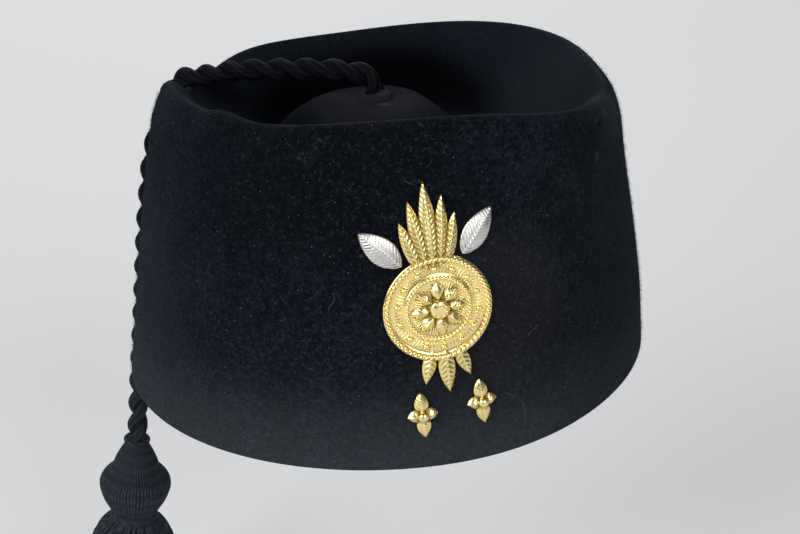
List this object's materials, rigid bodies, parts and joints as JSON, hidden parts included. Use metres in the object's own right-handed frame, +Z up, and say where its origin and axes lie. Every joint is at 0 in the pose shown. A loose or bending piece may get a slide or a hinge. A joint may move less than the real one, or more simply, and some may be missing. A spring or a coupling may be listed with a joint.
{
  "type": "fez",
  "caption": "Soft black felt fez with a pushed-in crown, a twisted cord that hangs over its rim to a tassel, and a pressed gilt and silver badge at the front.",
  "frame": {"origin": "middle of the head opening, in the plane of the hem", "axes": "+Z up through the crown, -Y towards the badge at the front, +X to the right as seen from the front"},
  "size_m": [0.2105, 0.1769, 0.2603],
  "materials": {
    "felt": "matt napped wool felt",
    "silk": "dull twisted silk",
    "gilt": "pressed gilt brass",
    "silver": "pressed white metal"
  },
  "bodies": {
    "root": {"felt_body": "felt", "crown_knot": "silk", "tassel_cord": "silk", "tassel": "silk", "badge_plate": "gilt", "badge_leaf_left": "silver", "badge_leaf_right": "silver", "badge_stud_left": "gilt", "badge_stud_right": "gilt"}
  },
  "joints": []
}
